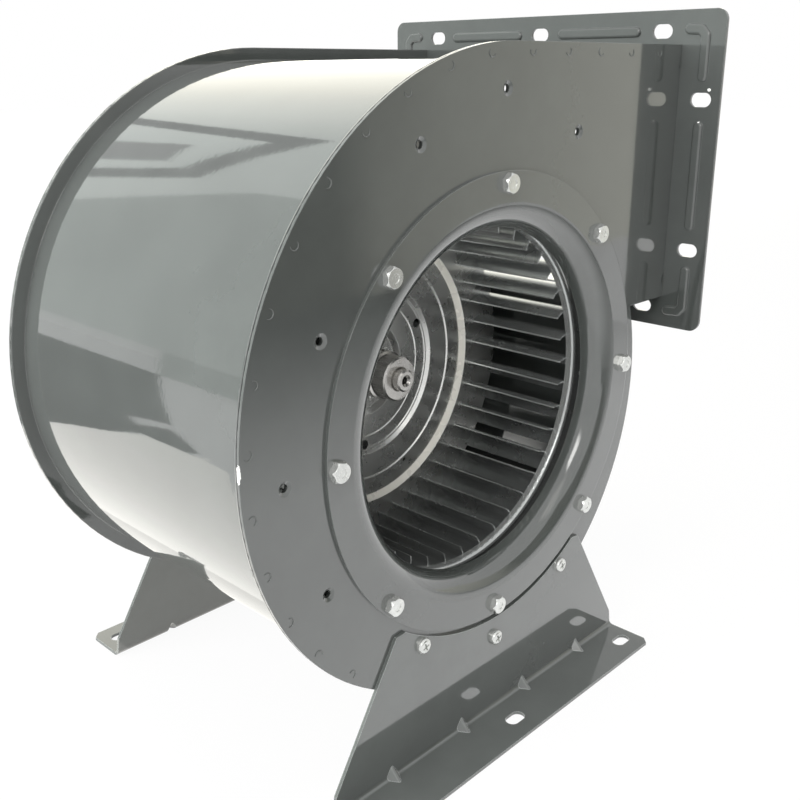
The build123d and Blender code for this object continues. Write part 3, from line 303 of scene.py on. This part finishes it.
# Nodes whose look differs from that of their material slot
PAINT_OF = {
    "front_side_plate": "plate_paint", "rear_side_plate": "plate_paint",
    "front_inlet_ring": "ring_paint", "rear_inlet_ring": "ring_paint",
    # Painted light on the feet: a lighter copy of the casing paint
    "front_foot": "foot_paint_painted_lighter", "rear_foot": "foot_paint_painted_lighter",
    # Painted shade on the outlet flange, a darker copy of the casing paint; painted light on the disc, a lighter
    # copy of the wheel's steel
    "outlet_flange": "flange_paint_painted_darker", "wheel_centre_disc": "disc_zinc_painted_lighter",
}
slot_of = {part["node"]: part["material_slot"] for part in frame["record"]["subparts"]}
for node, thing in frame["nodes"].items():
    thing.data.materials.clear()
    thing.data.materials.append(MATERIALS[PAINT_OF.get(node, slot_of[node])])


# Pieces too small for the CAD model


def half_ring(radius, tube, turn_angle, centre, sweep=210.0, steps=14, sides=6, height=0.9):
    """Corners and faces of a low half ring that stands on a side plate, its ends tapered. Its section is
    as high as height says, 1 being as high as it is wide."""
    corners, faces = [], []
    for i in range(steps + 1):
        a = turn_angle + math.radians(sweep) * (i / steps - 0.5)
        thick = tube * math.sin(math.pi * (0.12 + 0.76 * i / steps))
        for k in range(sides):
            b = 2 * math.pi * k / sides
            r = radius + thick * math.cos(b)
            corners.append(centre + Vector((r * math.cos(a), thick * height * math.sin(b), r * math.sin(a))))
    for i in range(steps):
        for k in range(sides):
            m = (k + 1) % sides
            faces.append((i * sides + k, (i + 1) * sides + k, (i + 1) * sides + m, i * sides + m))
    faces += [tuple(range(sides))[::-1], tuple(range(steps * sides, steps * sides + sides))]
    return corners, faces


# The scroll's edge: centre, radius and angles of its arcs, as in the CAD model
STEP, EDGE_R = 17.388, 187.088
TOP_X, TOP_Z = 6.25, 8.25
ARCS = [((TOP_X, TOP_Z), EDGE_R, 90.0, 180.0), ((TOP_X - STEP, TOP_Z), EDGE_R - STEP, 180.0, 270.0),
        ((TOP_X - STEP, TOP_Z - STEP), EDGE_R - 2 * STEP, 270.0, 318.0)]

# Clinch marks: distance from the edge and from each other, radius and thickness
MARK_SET, MARK_STEP = 4.8, 31.6
MARK_R, MARK_THICK = 2.3, 0.34


def clinch_marks(name, y, phase):
    """The marks that the seam between plate and wrap leaves along the plate's edge at y; those on the arcs
    are moved round by phase, in degrees."""
    mesh_corners, mesh_faces = [], []
    spots = [(20.0 + MARK_STEP * k, TOP_Z + EDGE_R - MARK_SET, 90.0) for k in range(5)]
    for (cx, cz), radius, a0, a1 in ARCS:
        reach = radius - MARK_SET
        run = math.degrees(MARK_STEP / reach)
        count = int((a1 - a0) / run)
        for i in range(count):
            a = a0 + phase + run * i
            spots.append((cx + reach * math.cos(math.radians(a)), cz + reach * math.sin(math.radians(a)), a))
    for i, (x, z, a) in enumerate(spots):
        twist = math.radians(a + 180.0 + 40.0 * math.sin(2.3 * i))
        corners, faces = half_ring(MARK_R * MM, MARK_THICK * MM, twist, at(x, y, z))
        base = len(mesh_corners)
        mesh_corners += corners
        mesh_faces += [tuple(base + k for k in face) for face in faces]
    mesh = bpy.data.meshes.new(name)
    mesh.from_pydata([tuple(c) for c in mesh_corners], [], mesh_faces)
    mesh.shade_smooth()
    mesh.materials.append(MATERIALS["plate_paint"])
    thing = bpy.data.objects.new(name, mesh)
    bpy.context.scene.collection.objects.link(thing)
    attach(thing, "casing")


# Just off the plates' outer faces, so that the marks are partly sunk
FRONT_MARKS_Y, REAR_MARKS_Y = 1.85, 221.15
clinch_marks("front_clinch_marks", FRONT_MARKS_Y, 6.2)
clinch_marks("rear_clinch_marks", REAR_MARKS_Y, 2.0)


# Studio


def lit(name, strength, colour=(1.0, 1.0, 1.0), fade=None):
    """A plain glow; fade(graph) gives how much of it stays, from 0 to 1, so that its edges are soft."""
    material = bpy.data.materials.new(name)
    g = Graph(material)
    glow = g.add("Emission", Color=rgb(*colour), Strength=strength).outputs[0]
    if fade:
        clear = g.add("BsdfTransparent").outputs[0]
        glow = g.add("MixShader", i0=fade(g), i1=clear, i2=glow).outputs[0]
    g.add("OutputMaterial", Surface=glow)
    return material


def sheet(name, corners, material, faces=None, **seen):
    """A flat stage piece through the given corners, hidden from the kinds of ray that are set to False."""
    mesh = bpy.data.meshes.new(name)
    mesh.from_pydata([tuple(c) for c in corners], [], faces or [tuple(range(len(corners)))])
    thing = bpy.data.objects.new(name, mesh)
    bpy.context.scene.collection.objects.link(thing)
    mesh.materials.append(material)
    for key, value in seen.items():
        setattr(thing, "visible_" + key, value)


def seen_rays(g):
    """1 for rays that show a background: from the camera, a mirror or glass."""
    path = g.add("LightPath").outputs
    seen = g.math("MAXIMUM", path["Is Camera Ray"], path["Is Glossy Ray"])
    return g.math("MAXIMUM", seen, path["Is Transmission Ray"])


# White where it is seen or mirrored, and a dimmer light on everything else
WORLD_LIGHT = 0.55
world = bpy.data.worlds.new("studio")
bpy.context.scene.world = world
g = Graph(world)
shine = g.spread(seen_rays(g), 0.0, 1.0, WORLD_LIGHT, 1.0)
g.add("OutputWorld", Surface=g.add("Background", Color=grey(1.0), Strength=shine).outputs[0])

# A pale matt floor that keeps a little of the fan's shadow
FLOOR_WHITE = 0.93
REACH = 9.0
floor_paint = bpy.data.materials.new("floor")
g = Graph(floor_paint)
floor_tone = g.mix(g.noise(3.0, 3.0), grey(0.78), grey(0.82))
matt = g.add("BsdfDiffuse", Color=floor_tone).outputs[0]
bright = g.add("Emission", Color=grey(1.0), Strength=1.0).outputs[0]
share = g.math("MULTIPLY", seen_rays(g), FLOOR_WHITE)
g.add("OutputMaterial", Surface=g.add("MixShader", i0=share, i1=matt, i2=bright).outputs[0])
sheet("floor", [(-REACH, -REACH, 0), (REACH, -REACH, 0), (REACH, REACH, 0), (-REACH, REACH, 0)], floor_paint)


def ramp(g, stops, axis):
    """A value that changes along x (axis 0) or y (axis 1): stops are (place in mm, value)."""
    place = g.add("SeparateXYZ", Vector=g.add("TexCoord").outputs["Object"]).outputs[axis]
    value = stops[0][1]
    for (p0, v0), (p1, v1) in zip(stops, stops[1:]):
        start, end = ((at(p, 0, 0).x, at(0, p, 0).y)[axis] for p in (p0, p1))
        step = g.add("MapRange", i0=place, i1=start, i2=end, i3=0.0, i4=v1 - v0).outputs[0]
        value = g.math("ADD", value, step)
    return value


def graded(name, stops, axis, colour=(1.0, 1.0, 1.0), turning=None):
    """A panel's glow that changes along one of its own directions; turning is a second colour and the
    two places between which it takes over."""
    material = bpy.data.materials.new(name)
    g = Graph(material)
    tint = rgb(*colour)
    if turning:
        other, start, end = turning
        tint = g.mix(ramp(g, [(start, 0.0), (end, 1.0)], axis), tint, rgb(*other))
    g.add("OutputMaterial", Surface=g.add("Emission", Color=tint, Strength=ramp(g, stops, axis)).outputs[0])
    return material


# What the casing mirrors above: a ceiling, its side part, a dark seam, a wall and a dim pane
CEILING = 1300.0
MIRRORED_ONLY = {"camera": False, "diffuse": False, "shadow": False}
ceiling = [(-500, 1000), (-500, 1620), (-905, 2812), (-905, 9000), (9000, 9000), (9000, 1000)]
sky = graded("ceiling_light", [(100, 1.36), (380, 1.58), (700, 1.64), (1015, 1.76), (2000, 1.8), (3000, 2.4)], 0,
             (0.95, 1.0, 0.965), ((1.0, 0.98, 0.88), 0, 900))
sheet("ceiling_light", [at(x, y, CEILING) for x, y in ceiling], sky, camera=False)
beside = [(-500, 1000), (-500, 1620), (-905, 2812), (-905, 3305), (-3200, 900)]
wall_tone = (0.94, 1.0, 0.965)
sheet("ceiling_side", [at(x, y, CEILING) for x, y in beside], lit("ceiling_side", 0.85, wall_tone), camera=False)

# A dimmer part of it in front of the casing's right side, for the ends of the front foot
dim = [(900, 1000), (9000, 1000), (9000, 1350), (900, 1350)]
sheet("ceiling_dim", [at(x, y, CEILING - 5) for x, y in dim], lit("ceiling_dim", 0.6), **MIRRORED_ONLY)


def ribbon(name, points, width, height, material):
    """A flat ribbon below the ceiling that follows the points, with mitred corners."""
    line = [Vector(p) for p in points]
    sides = []
    for i, p in enumerate(line):
        ways = [(line[j + 1] - line[j]).normalized() for j in (i - 1, i) if 0 <= j < len(line) - 1]
        across = sum((Vector((-w.y, w.x)) for w in ways), Vector((0, 0))).normalized()
        stretch = 1.0 / max(0.45, across.dot(Vector((-ways[0].y, ways[0].x))))
        sides.append([p + across * s * stretch * width / 2 for s in (-1, 1)])
    corners = [at(a.x, a.y, height) for pair in sides for a in pair]
    faces = [(2 * i, 2 * i + 1, 2 * i + 3, 2 * i + 2) for i in range(len(line) - 1)]
    sheet(name, corners, material, faces, **MIRRORED_ONLY)


v_line = [(400, 3350), (183, 2158), (60, 1398), (-367, 1837), (-430, 2068), (-640, 2990)]
ribbon("ceiling_seam", v_line, 95.0, CEILING - 10, lit("ceiling_seam", 0.42))

# The wall to the left, in two heights; LOW is just above the floor
LOW = -198.0
wall_x, wall_y, wall_slope = -3200, 900, 2405 / 2300
for name, x, low, high, strength in (("wall_light", -900, 90, CEILING, 0.85), ("wall_low", -1774, LOW, 90, 0.62)):
    y = wall_y + (x - wall_x) * wall_slope
    corners = [(wall_x, wall_y, low), (x, y, low), (x, y, high), (wall_x, wall_y, high)]
    sheet(name, [at(*corner) for corner in corners], lit(name, strength, wall_tone), camera=False)
pane = [(-104, 2197), (-65, 1792), (-270, 1924), (-342, 2325)]
sheet("ceiling_pane", [at(x, y, CEILING - 12) for x, y in pane], lit("ceiling_pane", 0.6), **MIRRORED_ONLY)

# What the casing mirrors low down: the bright floor near the fan, the darker floor beyond it
near = [(-125, 120), (-125, 600), (-321, 582), (-376, 570), (-478, 525), (-502, 511), (-437, 413), (-367, 325),
        (-220, 120)]
below = [(500, 120), (500, 600), (-125, 600), (-125, 120)]
for name, corners, strength in (("floor_glow", near, 1.5), ("floor_below", below, 1.1)):
    sheet(name, [at(x, y, LOW) for x, y in corners], lit(name, strength, (1.0, 0.985, 0.94)), **MIRRORED_ONLY)
beyond = [(-260, 600), (-505, 530), (-560, 650), (-1774, 2391), (-1300, 3300), (-260, 3300)]
sheet("floor_shade", [at(x, y, LOW + 0.5) for x, y in beyond], lit("floor_shade", 0.15), **MIRRORED_ONLY)
streak = [(-535, 723), (-571, 709), (-600, 700), (-537, 598), (-558, 654), (-534, 668), (-516, 669)]
sheet("floor_streak", [at(x, y, LOW + 1.0) for x, y in streak], lit("floor_streak", 1.0), **MIRRORED_ONLY)


def soft_sides(g):
    """Fades towards the four sides of an upright panel."""
    parts = g.add("SeparateXYZ", Vector=g.add("TexCoord").outputs["Generated"]).outputs
    out = 1.0
    for part in (parts[0], parts[2]):
        out = g.math("MULTIPLY", out, g.math("MULTIPLY", g.spread(part, 0.0, 0.3), g.spread(part, 1.0, 0.7)))
    return out


# A soft lamp above the camera's right shoulder, for the ring, the foot and the flange's back
LAMP_TONE = (1.0, 0.99, 0.97)
sheet("front_light", [at(-950, -1050, 900), at(250, -1500, 900), at(250, -1200, 2200), at(-950, -750, 2200)],
      lit("front_light", 1.6, LAMP_TONE, soft_sides), camera=False)

# Another far behind the camera, for the inlet's right side and the wheel
sheet("left_light", [at(-1750, -700, 600), at(-1250, -1450, 600), at(-1250, -1450, 1900), at(-1750, -700, 1900)],
      lit("left_light", 6.0, LAMP_TONE, soft_sides), camera=False)

# A lamp overhead for the top of the front foot's base
sheet("top_light", [at(-300, -500, 1300), at(300, -500, 1300), at(300, -120, 1300), at(-300, -120, 1300)],
      lit("top_light", 12.0, LAMP_TONE), camera=False, glossy=False)

# A window far to the left that lights the casing's left side but isn't mirrored
sheet("side_light", [at(-2300, -800, 0), at(-1700, 1700, 0), at(-1700, 1700, 1500), at(-2300, -800, 1500)],
      lit("side_light", 9.5), camera=False, glossy=False)

# What the front plate mirrors: the dark room behind the camera, brighter to the right, and the floor before it
room = graded("room", [(700, 0.12), (800, 0.5), (1000, 0.7), (1300, 0.85), (1600, 0.95)], 0, (1.0, 0.99, 0.88))
sheet("room", [at(x, -900, z) for x, z in ((100, LOW), (1900, LOW), (1900, 420), (100, 420))], room,
      **MIRRORED_ONLY)
fore = graded("floor_fore", [(-840, 0.1), (-700, 0.25), (-560, 0.5), (-470, 0.75), (-290, 1.2), (-60, 1.15)], 1)
sheet("floor_fore", [at(x, y, LOW) for x, y in ((-100, -900), (900, -900), (900, 0), (-100, 0))], fore,
      **MIRRORED_ONLY)

# Camera, where the photograph was taken from: place in millimetres, angles in radians
CAMERA_PLACE = (-411.92, -321.53, 182.31)
YAW, PITCH, ROLL = 0.798175, 0.328178, 0.004615
FOCAL_PIXELS, IMAGE_PIXELS, SENSOR = 975.136, 800.0, 36.0
ahead = Vector((math.sin(YAW) * math.cos(PITCH), math.cos(YAW) * math.cos(PITCH), -math.sin(PITCH)))
level = Vector((math.cos(YAW), -math.sin(YAW), 0.0))
under = ahead.cross(level)
right = level * math.cos(ROLL) + under * math.sin(ROLL)
down = under * math.cos(ROLL) - level * math.sin(ROLL)
camera = bpy.data.objects.new("camera", bpy.data.cameras.new("camera"))
camera.data.sensor_width = SENSOR
camera.data.lens = FOCAL_PIXELS * SENSOR / IMAGE_PIXELS
turn = Matrix((right, -down, -ahead)).transposed().to_4x4()
camera.matrix_world = Matrix.Translation(at(*CAMERA_PLACE)) @ turn
bpy.context.scene.collection.objects.link(camera)
bpy.context.scene.camera = camera
bpy.context.scene.view_settings.view_transform = "Standard"
